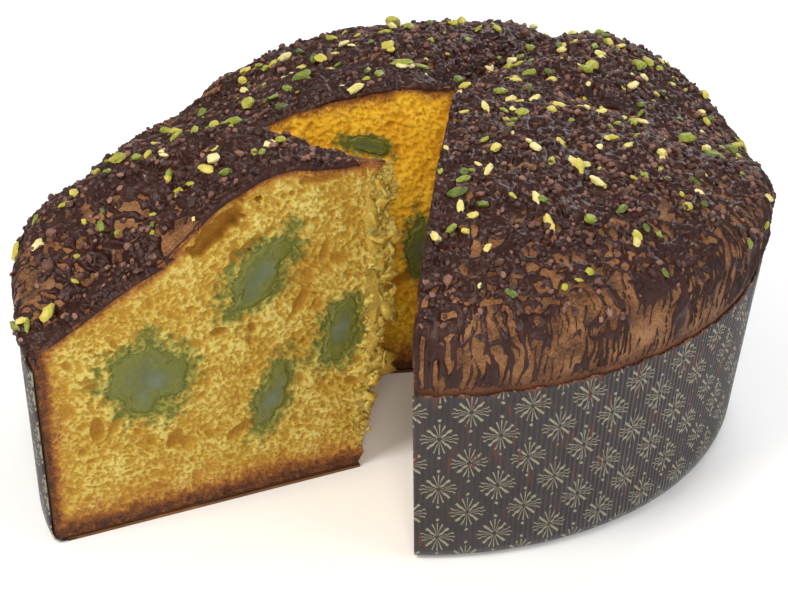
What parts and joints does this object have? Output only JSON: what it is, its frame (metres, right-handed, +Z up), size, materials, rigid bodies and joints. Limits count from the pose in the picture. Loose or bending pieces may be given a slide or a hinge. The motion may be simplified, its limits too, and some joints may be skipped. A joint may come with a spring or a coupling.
{
  "type": "panettone",
  "caption": "Low round panettone in a paper mould, glazed with dark chocolate and sprinkled with nibs and pistachio, with a wedge cut out and standing in front of its notch.",
  "frame": {"origin": "middle of the underside of the whole, loaf and wedge together, on the surface they stand on", "axes": "+Z up, +X to the right along the longest extent, -Y towards the notch and the wedge's front"},
  "size_m": [0.231, 0.221, 0.111],
  "materials": {
    "bread": "open yellow crumb with a brown baked crust",
    "glaze": "set dark chocolate, uneven, softly glossy",
    "mould_paper": "dark corrugated greaseproof paper with a pale printed pattern",
    "candied_fruit": "green candied fruit, cloudy and moist",
    "pistachio": "chopped pistachio, yellow-green with paler breaks",
    "cocoa_nib": "roasted cocoa nib, reddish brown and rough"
  },
  "bodies": {
    "root": {"loaf": "bread", "slice": "bread", "loaf_glaze": "glaze", "slice_glaze": "glaze", "loaf_paper_band": "mould_paper", "slice_paper_band": "mould_paper", "loaf_paper_base": "mould_paper", "slice_paper_base": "mould_paper", "candied_fruit_front_1": "candied_fruit", "candied_fruit_front_2": "candied_fruit", "candied_fruit_front_3": "candied_fruit", "candied_fruit_front_4": "candied_fruit", "candied_fruit_back_1": "candied_fruit", "candied_fruit_back_2": "candied_fruit", "candied_fruit_left_1": "candied_fruit", "candied_fruit_left_2": "candied_fruit", "candied_fruit_right_1": "candied_fruit", "candied_fruit_right_2": "candied_fruit", "pistachio_01": "pistachio", "pistachio_02": "pistachio", "pistachio_03": "pistachio", "pistachio_04": "pistachio", "pistachio_05": "pistachio", "pistachio_06": "pistachio", "pistachio_07": "pistachio", "pistachio_08": "pistachio", "pistachio_09": "pistachio", "pistachio_10": "pistachio", "pistachio_11": "pistachio", "pistachio_12": "pistachio", "pistachio_13": "pistachio", "pistachio_14": "pistachio", "pistachio_15": "pistachio", "pistachio_16": "pistachio", "pistachio_17": "pistachio", "pistachio_18": "pistachio", "pistachio_19": "pistachio", "pistachio_20": "pistachio", "pistachio_21": "pistachio", "pistachio_22": "pistachio", "pistachio_23": "pistachio", "pistachio_24": "pistachio", "pistachio_25": "pistachio", "pistachio_26": "pistachio", "pistachio_27": "pistachio", "pistachio_28": "pistachio", "slice_pistachio_01": "pistachio", "slice_pistachio_02": "pistachio", "slice_pistachio_03": "pistachio", "slice_pistachio_04": "pistachio", "slice_pistachio_05": "pistachio", "slice_pistachio_06": "pistachio", "slice_pistachio_07": "pistachio"}
  },
  "joints": []
}
